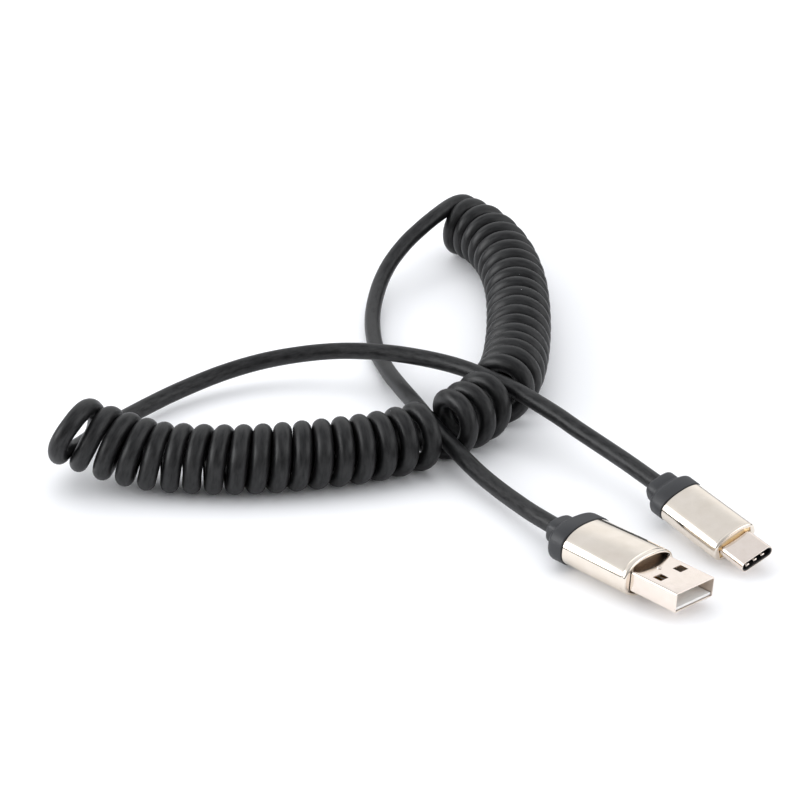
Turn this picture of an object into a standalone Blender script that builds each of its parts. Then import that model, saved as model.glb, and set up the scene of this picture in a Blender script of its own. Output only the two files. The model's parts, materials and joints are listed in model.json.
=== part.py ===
# Coiled cable with a USB-A plug on one end and a USB-C plug on the other, lying on a flat surface.
# The curly cord is one fat tube here; two straight leads run from its ends to the plugs,
# each passing through the coil between its turns on the way.
import math

import bmesh
import bpy
import numpy as np
from mathutils import Matrix, Vector

MM = 0.001

# One unit of the layout's points below, which say where the cord and the plugs lie
LAYOUT_UNIT = 1.0 * MM

# Cord
CORD_D = 3.85 * MM
COIL_D = 15.3 * MM
COIL_SIDES = 20
LEAD_BEVEL_RESOLUTION = 2
TUNNEL_SIDES = 16
LEAD_STEP = 2.4 * CORD_D
COIL_STEP = 0.28 * COIL_D
GAP = 0.3 * MM
TRIM_GAP = 0.1 * MM
TUNNEL_CLEARANCE = 0.45 * MM

# USB-A plug, along its own axis: x runs out of the plug's mouth, y across, z up
A_SHELL_WIDTH = 12.0 * MM
A_SHELL_HEIGHT = 4.5 * MM
A_SHELL_WALL = 0.3 * MM
A_SHELL_EXPOSED = 12.1 * MM
A_SHELL_CORNER = 0.5 * MM
A_HOUSING_LENGTH = 17.3 * MM
A_HOUSING_WIDTH = 15.4 * MM
A_HOUSING_HEIGHT = 9.2 * MM
A_RIM_WIDTH = 0.75 * MM
A_RECESS_DEPTH = 1.0 * MM
A_CAP_LENGTH = 4.2 * MM
A_CAP_PROUD = 0.2 * MM
A_COLLAR_LENGTH = 4.0 * MM
A_WINDOW_LENGTH = 2.0 * MM
A_WINDOW_WIDTH = 2.4 * MM
A_WINDOW_SETBACK = 6.7 * MM
A_WINDOW_SPACING = 6.2 * MM
A_WINDOW_CUT_DEPTH = 1.1 * MM
A_TONGUE_HEIGHT = 1.85 * MM
A_TONGUE_CHAMFER = 0.5 * MM
A_TONGUE_SETBACK = 0.35 * MM
A_CONTACT_WIDTH = 1.0 * MM
A_CONTACT_LENGTH = 6.4 * MM
A_CONTACT_THICKNESS = 0.2 * MM
A_OUTER_CONTACT_SETBACK = 2.5 * MM
A_INNER_CONTACT_SETBACK = 3.4 * MM
A_OUTER_CONTACT_Y = 3.5 * MM
A_INNER_CONTACT_Y = 1.0 * MM

# USB-C plug
C_SHELL_WIDTH = 8.34 * MM
C_SHELL_HEIGHT = 2.56 * MM
C_SHELL_WALL = 0.25 * MM
C_SHELL_EXPOSED = 7.0 * MM
C_HOUSING_LENGTH = 17.5 * MM
C_HOUSING_WIDTH = 11.3 * MM
C_HOUSING_HEIGHT = 6.3 * MM
C_RIM_WIDTH = 0.5 * MM
C_RECESS_DEPTH = 0.25 * MM
C_CAP_LENGTH = 4.3 * MM
C_CAP_PROUD = 0.15 * MM
C_COLLAR_LENGTH = 3.2 * MM
C_LINER_WALL = 0.22 * MM
C_LINER_SETBACK = 0.2 * MM
C_SLOT_WIDTH = 6.7 * MM
C_SPRING_WIDTH = 0.9 * MM
C_SPRING_LENGTH = 1.4 * MM
C_SPRING_THICKNESS = 0.2 * MM
C_SPRING_SETBACK = 0.5 * MM
C_SPRING_SPACING = 2.3 * MM
C_SPRINGS_PER_ROW = 3

# Both plugs: the bead round a housing's front, the cap's round shoulder behind the housing, and the
# collar behind the cap, where the cord goes in
BEAD = 0.45 * MM
CAP_SHOULDER = 1.1 * MM
COLLAR_WIDTH = 7.4 * MM
COLLAR_HEIGHT = 5.3 * MM
COLLAR_EDGE = 0.7 * MM
HOUSING_POWER = 2.5
COLLAR_POWER = 3.2

# Where each plug lies: the middle of its mouth, and how it is turned, in degrees
A_MOUTH = Vector((59.5, -93.3, 5.0)) * LAYOUT_UNIT
A_YAW, A_PITCH, A_ROLL = -45.3, 0.0, -5.3
C_MOUTH = Vector((73.9, -77.5, 3.9)) * LAYOUT_UNIT
C_YAW, C_PITCH, C_ROLL = -55.0, 4.8, 16.5

# The coil's axis, in layout units, from the end that the USB-C lead leaves. The third number is how far
# that stretch of the coil is lifted off the surface that it lies on.
COIL_AXIS = [
    (-70.4, -39.2, 5.6), (-66.3, -38.8, 3.3), (-62.0, -39.5, 1.9), (-57.6, -40.5, 1.0),
    (-53.0, -41.2, 0.3), (-48.5, -41.5, 0.0), (-39.4, -42.2, 0.0), (-30.8, -41.9, 0.0),
    (-22.1, -40.6, 0.0), (-13.4, -38.7, 0.0), (-4.5, -36.0, 0.0), (4.2, -31.5, 0.0),
    (11.5, -25.7, 0.0), (15.4, -21.3, 0.0), (19.5, -15.7, 0.0), (23.7, -7.5, 0.0),
    (26.2, 1.9, 0.0), (27.7, 15.2, 0.0), (28.4, 30.0, 0.0), (28.2, 44.9, 0.0),
    (26.5, 58.3, 0.0), (23.7, 68.4, 0.0), (20.5, 75.1, 0.0), (16.6, 79.9, 0.0)]

# The two leads, in layout units, from the coil to the plug
LEAD_A_ROUTE = [
    (15.3, 81.6, 13.4), (13.2, 80.7, 13.3), (8.8, 74.7, 12.7), (4.7, 70.2, 11.0), (0.9, 66.0, 8.8),
    (-2.9, 60.0, 5.9), (-5.5, 50.6, 3.7), (-6.7, 37.0, 2.4), (-5.6, 21.4, 2.2), (-3.0, 9.7, 2.8),
    (0.0, -0.9, 4.0), (3.0, -11.3, 5.6), (6.0, -21.2, 6.8), (9.7, -29.5, 6.4), (13.6, -36.2, 5.2),
    (17.5, -42.4, 4.2), (21.6, -48.9, 3.9), (25.6, -55.7, 4.3), (28.5, -60.5, 4.7)]
LEAD_C_ROUTE = [
    (-74.9, -40.0, 9.3), (-73.3, -37.6, 7.7), (-71.3, -33.6, 6.4), (-67.8, -25.0, 4.8),
    (-63.0, -16.8, 3.8), (-57.2, -8.8, 3.4), (-50.5, -2.2, 3.8), (-41.5, 3.7, 5.0),
    (-32.4, 6.8, 6.5), (-23.2, 7.6, 8.0), (-13.9, 6.6, 9.4), (-4.6, 4.0, 10.4), (3.4, 0.6, 11.0),
    (11.4, -3.8, 11.3), (18.2, -8.9, 11.3), (25.9, -15.8, 10.9), (34.0, -24.4, 9.8),
    (39.3, -30.6, 8.8), (45.6, -37.6, 7.6), (49.8, -43.0, 7.1)]


def clear_scene():
    for obj in list(bpy.data.objects):
        bpy.data.objects.remove(obj, do_unlink=True)


def material(name, colour, roughness, metallic=0.0):
    mat = bpy.data.materials.new(name)
    mat.use_nodes = True
    shader = mat.node_tree.nodes["Principled BSDF"]
    shader.inputs["Base Color"].default_value = (*colour, 1.0)
    shader.inputs["Roughness"].default_value = roughness
    shader.inputs["Metallic"].default_value = metallic
    return mat


def mesh_object(name, mesh, mat, place=None):
    """Link a mesh under its node's name, smooth where it is round."""
    mesh.name = name
    mesh.materials.append(mat)
    mesh.shade_smooth()
    mesh.set_sharp_from_angle(angle=math.radians(35.0))
    obj = bpy.data.objects.new(name, mesh)
    bpy.context.scene.collection.objects.link(obj)
    if place is not None:
        obj.matrix_world = place
    return obj


def plug_frame(mouth, yaw, pitch, roll):
    """World matrix of a plug's own frame, with x pointing out of its mouth."""
    turn = (Matrix.Rotation(math.radians(yaw), 4, "Z")
            @ Matrix.Rotation(math.radians(pitch), 4, "Y")
            @ Matrix.Rotation(math.radians(roll), 4, "X"))
    return Matrix.Translation(mouth) @ turn


def oval(width, height, power=HOUSING_POWER, count=40):
    """Outline of a superellipse, wider than high, as (y, z) pairs."""
    points = []
    for i in range(count):
        a = 2.0 * math.pi * i / count
        c, s = math.cos(a), math.sin(a)
        points.append((0.5 * width * math.copysign(abs(c) ** (2.0 / power), c),
                       0.5 * height * math.copysign(abs(s) ** (2.0 / power), s)))
    return points


def rounded_box(width, height, radius, steps=5):
    """Outline of a box with round corners, as (y, z) pairs. A radius of half the height is a stadium."""
    points = []
    for corner, (sy, sz) in enumerate(((1, 1), (-1, 1), (-1, -1), (1, -1))):
        cy = sy * (0.5 * width - radius)
        cz = sz * (0.5 * height - radius)
        for k in range(steps + 1):
            a = math.radians(90.0 * corner + 90.0 * k / steps)
            points.append((cy + radius * math.cos(a), cz + radius * math.sin(a)))
    return points


def loft(name, sections, mat, place):
    """Skin a row of outlines, each an x and its (y, z) points, and cap both ends."""
    bm = bmesh.new()
    rings = [[bm.verts.new((x, y, z)) for y, z in outline] for x, outline in sections]
    for first, second in zip(rings, rings[1:]):
        n = len(first)
        for i in range(n):
            bm.faces.new((first[i], first[(i + 1) % n], second[(i + 1) % n], second[i]))
    bm.faces.new(rings[0])
    bm.faces.new(list(reversed(rings[-1])))
    bmesh.ops.recalc_face_normals(bm, faces=bm.faces)
    mesh = bpy.data.meshes.new(name)
    bm.to_mesh(mesh)
    bm.free()
    return mesh_object(name, mesh, mat, place)


def block(name, low, high, mat, place):
    """A plain box between two corners of the plug's frame."""
    outline = [(low[1], low[2]), (high[1], low[2]), (high[1], high[2]), (low[1], high[2])]
    return loft(name, [(low[0], outline), (high[0], outline)], mat, place)


def cut(obj, cutter):
    """Boolean one solid out of another and hide the cutter."""
    modifier = obj.modifiers.new("cut_" + cutter.name, "BOOLEAN")
    modifier.operation = "DIFFERENCE"
    modifier.solver = "EXACT"
    modifier.object = cutter
    cutter.hide_render = True
    cutter.display_type = "WIRE"


def smooth_route(points, step):
    """Points of a smooth curve through hand-chosen ones, spread evenly along it."""
    p = [Vector(q) for q in points]
    p = [2.0 * p[0] - p[1]] + p + [2.0 * p[-1] - p[-2]]
    dense = []
    for i in range(1, len(p) - 2):
        for k in range(24):
            t = k / 24.0
            dense.append(0.5 * (2.0 * p[i] + (p[i + 1] - p[i - 1]) * t
                                + (2.0 * p[i - 1] - 5.0 * p[i] + 4.0 * p[i + 1] - p[i + 2]) * t * t
                                + (3.0 * p[i] - p[i - 1] - 3.0 * p[i + 1] + p[i + 2]) * t ** 3))
    dense.append(p[-2])
    xyz = np.array([tuple(q) for q in dense])
    along = np.concatenate(([0.0], np.cumsum(np.linalg.norm(np.diff(xyz, axis=0), axis=1))))
    count = max(2, round(along[-1] / step) + 1)
    at = np.linspace(0.0, along[-1], count)
    return [Vector(q) for q in np.column_stack([np.interp(at, along, xyz[:, k]) for k in range(3)])]


def metres(route):
    return [Vector(q) * LAYOUT_UNIT for q in route]


def tube_mesh(name, points, radius, sides, mat):
    """A closed tube swept along points, its rings kept upright."""
    bm = bmesh.new()
    rings = []
    for i, p in enumerate(points):
        tangent = (points[min(i + 1, len(points) - 1)] - points[max(i - 1, 0)]).normalized()
        side = tangent.cross(Vector((0.0, 0.0, 1.0))).normalized()
        up = side.cross(tangent)
        ring = []
        for k in range(sides):
            a = 2.0 * math.pi * (k + 0.5) / sides
            ring.append(bm.verts.new(p + radius * (math.cos(a) * side + math.sin(a) * up)))
        rings.append(ring)
    for first, second in zip(rings, rings[1:]):
        for k in range(sides):
            bm.faces.new((first[k], first[(k + 1) % sides], second[(k + 1) % sides], second[k]))
    bm.faces.new(rings[0])
    bm.faces.new(list(reversed(rings[-1])))
    bmesh.ops.recalc_face_normals(bm, faces=bm.faces)
    mesh = bpy.data.meshes.new(name)
    bm.to_mesh(mesh)
    bm.free()
    return mesh_object(name, mesh, mat)


def lead(name, points, mat):
    """A stretch of bare cord as a curve with a round bevel and closed ends."""
    curve = bpy.data.curves.new(name, "CURVE")
    curve.dimensions = "3D"
    curve.bevel_depth = 0.5 * CORD_D
    curve.bevel_resolution = LEAD_BEVEL_RESOLUTION
    curve.render_resolution_u = 0
    curve.use_fill_caps = True
    spline = curve.splines.new("POLY")
    spline.points.add(len(points) - 1)
    for target, p in zip(spline.points, points):
        target.co = (*p, 1.0)
    curve.materials.append(mat)
    obj = bpy.data.objects.new(name, curve)
    bpy.context.scene.collection.objects.link(obj)
    return obj


def boot_sections(width, height, cap_front, cap_length, collar_length):
    """Outlines of a moulded boot, from its flat front back over the cap's round shoulder to the collar."""
    cap_rear = cap_front - cap_length
    sections = [(cap_front, oval(width, height))]
    for k in range(6):
        a = math.radians(18.0 * k)
        inset = CAP_SHOULDER * (1.0 - math.cos(a))
        x = cap_rear + CAP_SHOULDER * (1.0 - math.sin(a))
        sections.append((x, oval(width - 2.0 * inset, height - 2.0 * inset)))
    collar_rear = cap_rear - collar_length
    sections.append((cap_rear - TRIM_GAP, oval(COLLAR_WIDTH, COLLAR_HEIGHT, COLLAR_POWER)))
    for k in range(4):
        a = math.radians(30.0 * k)
        inset = COLLAR_EDGE * (1.0 - math.cos(a))
        x = collar_rear + COLLAR_EDGE * (1.0 - math.sin(a))
        sections.append((x, oval(COLLAR_WIDTH - 2.0 * inset, COLLAR_HEIGHT - 2.0 * inset, COLLAR_POWER)))
    return sections


def housing_sections(width, height, rear, front, rim, recess):
    """Outlines of a metal sleeve: a plain rear, a beaded front rim and a shallow recess inside it."""
    sections = [(rear, oval(width, height))]
    for k in range(5):
        a = math.radians(22.5 * k)
        inset = BEAD * (1.0 - math.cos(a))
        x = front - BEAD * (1.0 - math.sin(a))
        sections.append((x, oval(width - 2.0 * inset, height - 2.0 * inset)))
    inner_width = width - 2.0 * rim
    inner_height = height - 2.0 * rim
    sections.append((front, oval(inner_width, inner_height)))
    sections.append((front - recess, oval(inner_width, inner_height)))
    return sections


def usb_a_plug(metal, shell_metal, plastic, white, gold):
    place = plug_frame(A_MOUTH, A_YAW, A_PITCH, A_ROLL)
    housing_front = -A_SHELL_EXPOSED
    housing_rear = housing_front - A_HOUSING_LENGTH
    loft("usb_a_housing", housing_sections(A_HOUSING_WIDTH, A_HOUSING_HEIGHT, housing_rear, housing_front,
                                           A_RIM_WIDTH, A_RECESS_DEPTH), metal, place)
    loft("usb_a_boot", boot_sections(A_HOUSING_WIDTH + A_CAP_PROUD, A_HOUSING_HEIGHT + A_CAP_PROUD,
                                     housing_rear - GAP, A_CAP_LENGTH, A_COLLAR_LENGTH), plastic, place)

    shell_rear = housing_front - A_RECESS_DEPTH + GAP
    outer = rounded_box(A_SHELL_WIDTH, A_SHELL_HEIGHT, A_SHELL_CORNER, 3)
    inner_width = A_SHELL_WIDTH - 2.0 * A_SHELL_WALL
    inner_height = A_SHELL_HEIGHT - 2.0 * A_SHELL_WALL
    inner = rounded_box(inner_width, inner_height, A_SHELL_CORNER - A_SHELL_WALL, 3)
    back_wall = shell_rear + A_SHELL_WALL
    shell = loft("usb_a_shell", [(shell_rear, outer), (0.0, outer), (0.0, inner), (back_wall, inner)],
                 shell_metal, place)
    for side in (-1, 1):
        mid = side * 0.5 * A_WINDOW_SPACING
        half_length = 0.5 * A_WINDOW_LENGTH
        half_width = 0.5 * A_WINDOW_WIDTH
        floor = 0.5 * A_SHELL_HEIGHT - A_WINDOW_CUT_DEPTH
        cutter = block("window_cutter_%d" % (side + 2),
                       (-A_WINDOW_SETBACK - half_length, mid - half_width, floor),
                       (-A_WINDOW_SETBACK + half_length, mid + half_width, A_SHELL_HEIGHT), shell_metal, place)
        cut(shell, cutter)

    tongue_width = inner_width - 2.0 * TRIM_GAP
    tongue_floor = -0.5 * inner_height + TRIM_GAP
    tongue_top = tongue_floor + A_TONGUE_HEIGHT
    half = 0.5 * tongue_width
    shoulder = tongue_top - A_TONGUE_CHAMFER
    outline = [(-half, tongue_floor), (half, tongue_floor), (half, shoulder),
               (half - A_TONGUE_CHAMFER, tongue_top), (A_TONGUE_CHAMFER - half, tongue_top), (-half, shoulder)]
    loft("usb_a_tongue", [(back_wall + TRIM_GAP, outline), (-A_TONGUE_SETBACK, outline)], white, place)
    contacts = [(-A_OUTER_CONTACT_Y, A_OUTER_CONTACT_SETBACK), (-A_INNER_CONTACT_Y, A_INNER_CONTACT_SETBACK),
                (A_INNER_CONTACT_Y, A_INNER_CONTACT_SETBACK), (A_OUTER_CONTACT_Y, A_OUTER_CONTACT_SETBACK)]
    contact_floor = tongue_top + TRIM_GAP
    for number, (y, setback) in enumerate(contacts, 1):
        block("usb_a_contact_%d" % number,
              (-setback - A_CONTACT_LENGTH, y - 0.5 * A_CONTACT_WIDTH, contact_floor),
              (-setback, y + 0.5 * A_CONTACT_WIDTH, contact_floor + A_CONTACT_THICKNESS), gold, place)
    collar_rear = housing_rear - GAP - A_CAP_LENGTH - A_COLLAR_LENGTH
    return place @ Vector((collar_rear - GAP, 0.0, 0.0))


def usb_c_plug(metal, shell_metal, plastic, black):
    place = plug_frame(C_MOUTH, C_YAW, C_PITCH, C_ROLL)
    housing_front = -C_SHELL_EXPOSED
    housing_rear = housing_front - C_HOUSING_LENGTH
    loft("usb_c_housing", housing_sections(C_HOUSING_WIDTH, C_HOUSING_HEIGHT, housing_rear, housing_front,
                                           C_RIM_WIDTH, C_RECESS_DEPTH), metal, place)
    loft("usb_c_boot", boot_sections(C_HOUSING_WIDTH + C_CAP_PROUD, C_HOUSING_HEIGHT + C_CAP_PROUD,
                                     housing_rear - GAP, C_CAP_LENGTH, C_COLLAR_LENGTH), plastic, place)

    shell_rear = housing_front - C_RECESS_DEPTH + GAP
    back_wall = shell_rear + C_SHELL_WALL
    inner_width = C_SHELL_WIDTH - 2.0 * C_SHELL_WALL
    inner_height = C_SHELL_HEIGHT - 2.0 * C_SHELL_WALL
    outer = rounded_box(C_SHELL_WIDTH, C_SHELL_HEIGHT, 0.5 * C_SHELL_HEIGHT, 8)
    inner = rounded_box(inner_width, inner_height, 0.5 * inner_height, 8)
    loft("usb_c_shell", [(shell_rear, outer), (0.0, outer), (0.0, inner), (back_wall, inner)],
         shell_metal, place)

    liner_height = inner_height - 2.0 * TRIM_GAP
    slot_height = liner_height - 2.0 * C_LINER_WALL
    liner_front = -C_LINER_SETBACK
    liner_rear = back_wall + TRIM_GAP
    slot_floor = liner_rear + C_LINER_WALL
    liner = rounded_box(inner_width - 2.0 * TRIM_GAP, liner_height, 0.5 * liner_height, 8)
    slot = rounded_box(C_SLOT_WIDTH, slot_height, 0.5 * slot_height, 8)
    loft("usb_c_liner", [(liner_rear, liner), (liner_front, liner), (liner_front, slot), (slot_floor, slot)],
         black, place)
    for row, side in (("upper", 1), ("lower", -1)):
        near = 0.5 * slot_height - 0.5 * TRIM_GAP
        far = near - C_SPRING_THICKNESS
        for number in range(1, C_SPRINGS_PER_ROW + 1):
            y = (number - 0.5 * (C_SPRINGS_PER_ROW + 1)) * C_SPRING_SPACING
            block("usb_c_spring_%s_%d" % (row, number),
                  (liner_front - C_SPRING_SETBACK - C_SPRING_LENGTH, y - 0.5 * C_SPRING_WIDTH,
                   min(side * near, side * far)),
                  (liner_front - C_SPRING_SETBACK, y + 0.5 * C_SPRING_WIDTH, max(side * near, side * far)),
                  shell_metal, place)
    collar_rear = housing_rear - GAP - C_CAP_LENGTH - C_COLLAR_LENGTH
    return place @ Vector((collar_rear - GAP, 0.0, 0.0))


def cord(rubber, a_entry, c_entry):
    """The coil as a fat tube, and the two leads, each with its way through the coil cut clear."""
    lying = Vector((0.0, 0.0, 0.5 * COIL_D))
    axis = smooth_route([lying + p for p in metres(COIL_AXIS)], COIL_STEP)
    coil = tube_mesh("coil", axis, 0.5 * COIL_D, COIL_SIDES, rubber)
    lead_a = smooth_route(metres(LEAD_A_ROUTE) + [a_entry], LEAD_STEP)
    lead_c = smooth_route(metres(LEAD_C_ROUTE) + [c_entry], LEAD_STEP)
    for name, points in (("lead_a", lead_a), ("lead_c", lead_c)):
        lead(name, points, rubber)
        cutter = tube_mesh(name + "_cutter", points, 0.5 * CORD_D + TUNNEL_CLEARANCE, TUNNEL_SIDES, rubber)
        cut(coil, cutter)


def stand_at_origin():
    """Shift the whole cable so that the middle of its box's underside is the origin."""
    bpy.context.view_layer.update()
    depsgraph = bpy.context.evaluated_depsgraph_get()
    points = []
    for obj in bpy.data.objects:
        if not obj.hide_render:
            mesh = obj.evaluated_get(depsgraph).to_mesh()
            points += [tuple(obj.matrix_world @ vertex.co) for vertex in mesh.vertices]
    low, high = np.min(points, axis=0), np.max(points, axis=0)
    shift = Matrix.Translation((-0.5 * (low[0] + high[0]), -0.5 * (low[1] + high[1]), -low[2]))
    for obj in bpy.data.objects:
        obj.matrix_world = shift @ obj.matrix_world


def build():
    clear_scene()
    rubber = material("black_rubber", (0.020, 0.020, 0.022), 0.62)
    plastic = material("dark_grey_plastic", (0.065, 0.067, 0.072), 0.5)
    nickel = material("champagne_nickel", (0.70, 0.64, 0.58), 0.28, 1.0)
    shell_metal = material("nickel_shell", (0.74, 0.68, 0.62), 0.22, 1.0)
    white = material("white_plastic", (0.80, 0.80, 0.79), 0.45)
    black = material("black_plastic", (0.012, 0.012, 0.013), 0.4)
    gold = material("gold_contact", (0.83, 0.60, 0.28), 0.25, 1.0)
    a_entry = usb_a_plug(nickel, shell_metal, plastic, white, gold)
    c_entry = usb_c_plug(nickel, shell_metal, plastic, black)
    cord(rubber, a_entry, c_entry)
    stand_at_origin()


build()
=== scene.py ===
# A curly cable between a USB-A plug and a USB-C plug, dressed for a studio picture.
# Lengths are in metres, or in mm where a comment says so or a piece's function takes them.
# Each plug has its own frame: x runs out of its mouth, y across, z up.
import json
import math

import bmesh
import bpy
import numpy as np
from mathutils import Matrix, Vector


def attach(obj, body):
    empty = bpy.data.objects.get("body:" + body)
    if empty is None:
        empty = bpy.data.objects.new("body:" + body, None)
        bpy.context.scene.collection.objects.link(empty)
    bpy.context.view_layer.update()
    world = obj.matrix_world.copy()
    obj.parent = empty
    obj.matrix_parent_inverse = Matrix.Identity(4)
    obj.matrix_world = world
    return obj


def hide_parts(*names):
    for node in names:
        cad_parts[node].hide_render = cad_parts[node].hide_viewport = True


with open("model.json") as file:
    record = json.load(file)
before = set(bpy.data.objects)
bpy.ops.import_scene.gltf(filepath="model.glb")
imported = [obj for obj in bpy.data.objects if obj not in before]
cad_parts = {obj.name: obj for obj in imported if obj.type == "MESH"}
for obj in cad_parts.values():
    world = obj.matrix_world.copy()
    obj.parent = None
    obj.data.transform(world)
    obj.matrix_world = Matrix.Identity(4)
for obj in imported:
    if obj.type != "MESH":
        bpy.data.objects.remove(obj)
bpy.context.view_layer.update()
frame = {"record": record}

MM = 0.001
# The layout's points are taken from where the camera looks, and this moves them to the row's origin
LAYOUT_SHIFT = np.array((-0.332, 6.389, -0.073)) * MM

# The camera: its sensor and lens in mm, how far it stands from what it looks at, and how many degrees
# above it
SENSOR_WIDTH = 36.0
LENS = 128.25
CAMERA_AWAY = 0.66
CAMERA_DROP = 28.0
NEAREST_SEEN = 0.01

# The cord: coiled, its strand is a little fatter than in the leads, and the coil is 15.4 mm across
CORD_D = 3.85 * MM
LEAD_RADIUS = 0.5 * CORD_D
STRAND_RADIUS = 2.09 * MM
COIL_RADIUS = 7.72 * MM
RING_STEP = 0.5 * MM
CORD_SIDES = 20

# The coil's line: points in a turn, how far its axis runs on past both ends, and over how many points
# the way along the axis and the heading are eased
POINTS_PER_TURN = 60
AXIS_PAST_END = 10.0 * MM
ALONG_EASED = 10
HEADING_EASED = 90
# Where a lead meets the coil: how many of its points are left off, and how far and over how many points
# the join is eased. The cord's thickness changes over more of them.
MEETING_GAP = 20
MEETING_REACH = 4.0 * MM
MEETING_EASED = 11
THICKNESS_EASED = 40

# The coil's axis: x, y and how far that stretch is lifted, in mm, from the end that the USB-C lead leaves
COIL_AXIS = [
    (-70.4, -39.2, 5.2), (-66.3, -38.8, 3.2), (-62.0, -39.5, 1.9), (-57.6, -40.5, 1.0),
    (-53.0, -41.2, 0.3), (-48.5, -41.5, 0.0), (-39.4, -42.2, 0.0), (-30.8, -41.9, 0.0),
    (-22.1, -40.6, 0.0), (-13.4, -38.7, 0.0), (-4.5, -36.0, 0.0), (4.2, -31.5, 0.0),
    (11.5, -25.7, 0.0), (15.4, -21.3, 0.0), (19.5, -15.7, 0.0), (23.7, -7.5, 0.0),
    (26.2, 1.9, 0.0), (27.7, 15.2, 0.0), (28.4, 30.0, 0.0), (28.2, 44.9, 0.0),
    (26.5, 58.3, 0.0), (23.7, 68.4, 0.0), (20.5, 75.1, 0.0), (16.6, 79.9, 0.0)]
# How far along that axis each turn has come, in mm. The whole number of a turn is its front, or right,
# a quarter more its top. It leaps ahead where a lead passes between two turns.
TURN_MARKS = [
    (0.7, 0.0), (0.82, -0.8), (0.93, -2.5), (1.0, -3.1), (1.1, -2.4), (1.21, -1.5), (1.32, 0.5), (1.5, 4.4),
    (1.6, 4.5), (1.75, 3.8), (1.83, 3.5), (2.0, 3.6), (2.2, 4.2), (2.32, 5.4), (2.5, 8.3), (2.6, 8.6),
    (2.75, 8.4), (3.0, 8.9), (3.2, 9.7), (3.32, 10.5), (3.5, 11.9), (3.75, 12.8), (4.0, 13.6), (4.32, 15.0),
    (4.5, 16.2), (4.8, 17.1), (5.32, 19.5), (6.32, 24.1), (8.32, 33.3), (10.32, 42.0), (12.32, 50.8),
    (14.32, 59.8), (16.32, 68.6), (17.32, 73.3), (18.0, 76.9), (18.32, 78.3), (18.5, 79.3), (18.65, 81.4),
    (18.8, 85.3), (19.0, 86.9), (19.32, 87.8), (19.42, 89.2), (19.55, 90.4), (19.8, 91.6), (20.32, 92.9),
    (20.8, 95.6), (21.11, 98.2), (21.29, 98.9), (21.39, 99.6), (21.75, 104.2), (22.05, 108.0),
    (22.28, 108.9), (22.36, 110.2), (22.5, 110.9), (22.8, 111.7), (23.25, 113.7), (24.25, 117.4),
    (25.25, 121.2), (26.25, 125.4), (27.25, 130.2), (28.25, 135.2), (30.25, 145.2), (32.25, 155.8),
    (34.25, 166.5), (36.25, 176.9), (38.25, 188.1), (39.25, 193.6), (40.25, 198.5), (40.75, 200.2),
    (41.25, 202.4)]
# Where the rings of the coil stand turned or tipped forward on its axis, in degrees: turn, turned, tipped
RING_LEANS = [
    (1.0, -7.0, 3.0), (2.0, -6.0, 4.0), (3.0, -3.0, 2.0), (4.5, 0.0, 0.0), (12.0, 0.0, 0.0),
    (14.0, 2.5, -1.5), (16.0, 5.0, -3.0), (18.3, 5.0, -3.0), (19.0, 0.0, 0.0), (21.0, 0.0, 0.0),
    (22.0, 7.0, 0.0), (23.0, 4.0, 0.0), (24.5, 0.0, 0.0), (36.0, 0.0, 0.0), (38.0, 4.0, 0.0),
    (41.25, 10.0, 0.0)]
# The first rings were wound a little wider: turn, how much further out, in mm
RING_GROWTH = [(3.0, 0.45), (4.5, 0.15), (5.5, 0.0)]
# The two leads, in mm, from the coil to the plug
LEAD_A_ROUTE = [
    (15.3, 81.6, 13.4), (13.2, 80.7, 13.3), (8.8, 74.7, 12.7), (4.7, 70.2, 11.0), (0.9, 66.0, 8.8),
    (-2.9, 60.0, 5.9), (-5.5, 50.6, 3.7), (-6.7, 37.0, 2.4), (-5.6, 21.4, 2.2), (-3.0, 9.7, 2.8),
    (0.0, -0.9, 4.0), (3.0, -11.3, 5.6), (6.0, -21.2, 6.8), (9.7, -29.5, 6.4), (13.6, -36.2, 5.2),
    (17.5, -42.4, 4.2), (21.6, -48.9, 3.9), (25.6, -55.7, 4.3), (28.5, -60.5, 4.7)]
LEAD_C_ROUTE = [
    (-74.9, -40.0, 9.3), (-73.3, -37.6, 7.5), (-71.3, -33.6, 6.0), (-67.8, -25.0, 4.6),
    (-63.0, -16.8, 3.8), (-57.2, -8.8, 3.4), (-50.5, -2.2, 3.8), (-41.5, 3.7, 5.0),
    (-32.4, 6.8, 6.5), (-23.2, 7.6, 8.0), (-13.9, 6.6, 9.4), (-4.6, 4.0, 10.4), (3.4, 0.6, 11.0),
    (11.4, -3.8, 11.3), (18.2, -8.9, 11.3), (25.9, -15.8, 10.9), (34.0, -24.4, 9.8),
    (39.3, -30.6, 8.8), (45.6, -37.6, 7.6), (49.8, -43.0, 7.1)]

# Where each plug lies, in the layout: the middle of its mouth in mm, and how it is turned, in degrees
A_MOUTH, A_TURN = (59.5, -93.3, 5.0), (-45.3, 0.0, -5.3)
C_MOUTH, C_TURN = (73.9, -77.5, 3.9), (-55.0, 4.8, 16.5)
# Where the cord goes into each boot, along the plug's own x, and how far in it ends
A_CORD_ENTRY = -37.9 * MM
C_CORD_ENTRY = -32.3 * MM
CORD_INSIDE = 1.2 * MM

# The plugs' shells, in mm, with their standard outer sizes
A_SHELL_WIDTH, A_SHELL_HEIGHT, A_SHELL_WALL = 12.0, 4.5, 0.28
C_SHELL_WIDTH, C_SHELL_HEIGHT, C_SHELL_WALL = 8.34, 2.56, 0.2
SHELL_MOUTH_ROUND = 0.1
# The two windows in the USB-A shell, left and right of its middle, and the dimple behind them, in mm
WINDOW_X, WINDOW_Y, WINDOW_Z = -6.7, 3.1, 2.0
WINDOW_SIZE = (2.15, 2.5, 1.6)
WINDOW_CORNER = 0.12
DIMPLE_PLACE = (-9.7, -0.2, 2.25)
DIMPLE_RADII = (0.8, 0.55, 0.26)
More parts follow.
